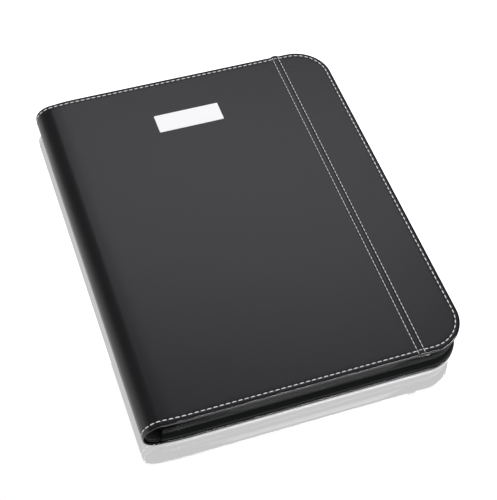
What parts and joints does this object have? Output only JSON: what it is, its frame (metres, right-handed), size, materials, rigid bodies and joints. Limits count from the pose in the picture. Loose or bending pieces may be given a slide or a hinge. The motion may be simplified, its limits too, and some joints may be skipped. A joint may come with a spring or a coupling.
{
  "type": "zippered portfolio",
  "caption": "Padded zip-round portfolio case with a half-round folding spine, writing pad, inner pockets and a bare name plate.",
  "frame": {"origin": "centre of the closed case on the outer face of the back cover, where it lies on a table", "axes": "+X from the spine to the fore-edge, +Y from the tail edge to the head edge, +Z from the back cover to the front cover"},
  "size_m": [0.27, 0.3668, 0.0308],
  "materials": {
    "leather": "smooth satin grain",
    "padding": "foam",
    "board": "grey board",
    "lining": "woven",
    "stiffener": "matte",
    "plate": "white, satin",
    "tape": "woven",
    "coil": "satin",
    "metal": "bright nickel",
    "paper": "uncoated",
    "elastic": "woven elastic"
  },
  "bodies": {
    "back_cover": {"back_cover_leather": "leather", "back_padding": "padding", "back_cover_board": "board", "back_lining": "lining", "zip_tape_lower": "tape", "zip_coil_lower": "coil", "zip_top_stop_lower": "metal", "zip_bottom_stop": "coil", "zip_end_tab": "leather", "pad_sleeve": "lining"},
    "spine": {"spine_leather": "leather", "spine_stiffener": "stiffener", "spine_lining": "lining"},
    "front_cover": {"front_cover_leather": "leather", "fore_edge_panel": "leather", "front_padding": "padding", "front_cover_board": "board", "front_lining": "lining", "seam_band": "leather", "name_plate": "plate", "zip_tape_upper": "tape", "zip_coil_upper": "coil", "zip_top_stop_upper": "metal", "document_pocket": "lining", "card_pocket_1": "leather", "card_pocket_2": "leather", "card_pocket_3": "leather", "pen_loop": "elastic"},
    "zip_slider": {"zip_slider": "metal"},
    "pull_link": {"zip_pull_link": "metal"},
    "pull": {"zip_pull": "metal"},
    "writing_pad": {"pad_backing_board": "board", "pad_sheets": "paper", "pad_binding": "lining"}
  },
  "joints": [
    {"name": "spine_fold", "type": "hinge", "parent": "back_cover", "child": "spine", "pos_m": [-0.13178, 0, 0.00322], "axis": [0, -1, 0], "range_deg": [0, 90]},
    {"name": "front_cover_fold", "type": "hinge", "parent": "spine", "child": "front_cover", "pos_m": [-0.13178, 0, 0.02678], "axis": [0, -1, 0], "range_deg": [0, 90]},
    {"name": "slider_travel", "type": "slide", "parent": "back_cover", "child": "zip_slider", "axis": [1, 0, 0], "range_m": [0, 0.205], "deforming": ["zip_coil_upper", "zip_coil_lower"]},
    {"name": "link_swing", "type": "hinge", "parent": "zip_slider", "child": "pull_link", "pos_m": [-0.112, 0.1726, 0.015], "axis": [1, 0, 0], "range_deg": [-57, 123]},
    {"name": "pull_swing", "type": "hinge", "parent": "pull_link", "child": "pull", "pos_m": [-0.112, 0.17679, 0.01228], "axis": [0, 0.5446, 0.8387], "range_deg": [-80, 80]},
    {"name": "pad_slide", "type": "slide", "parent": "back_cover", "child": "writing_pad", "axis": [0, 1, 0], "range_m": [0, 0.02]}
  ],
  "couplings": [
    {"joint": "front_cover_fold", "follows": "spine_fold", "ratio": 1}
  ]
}
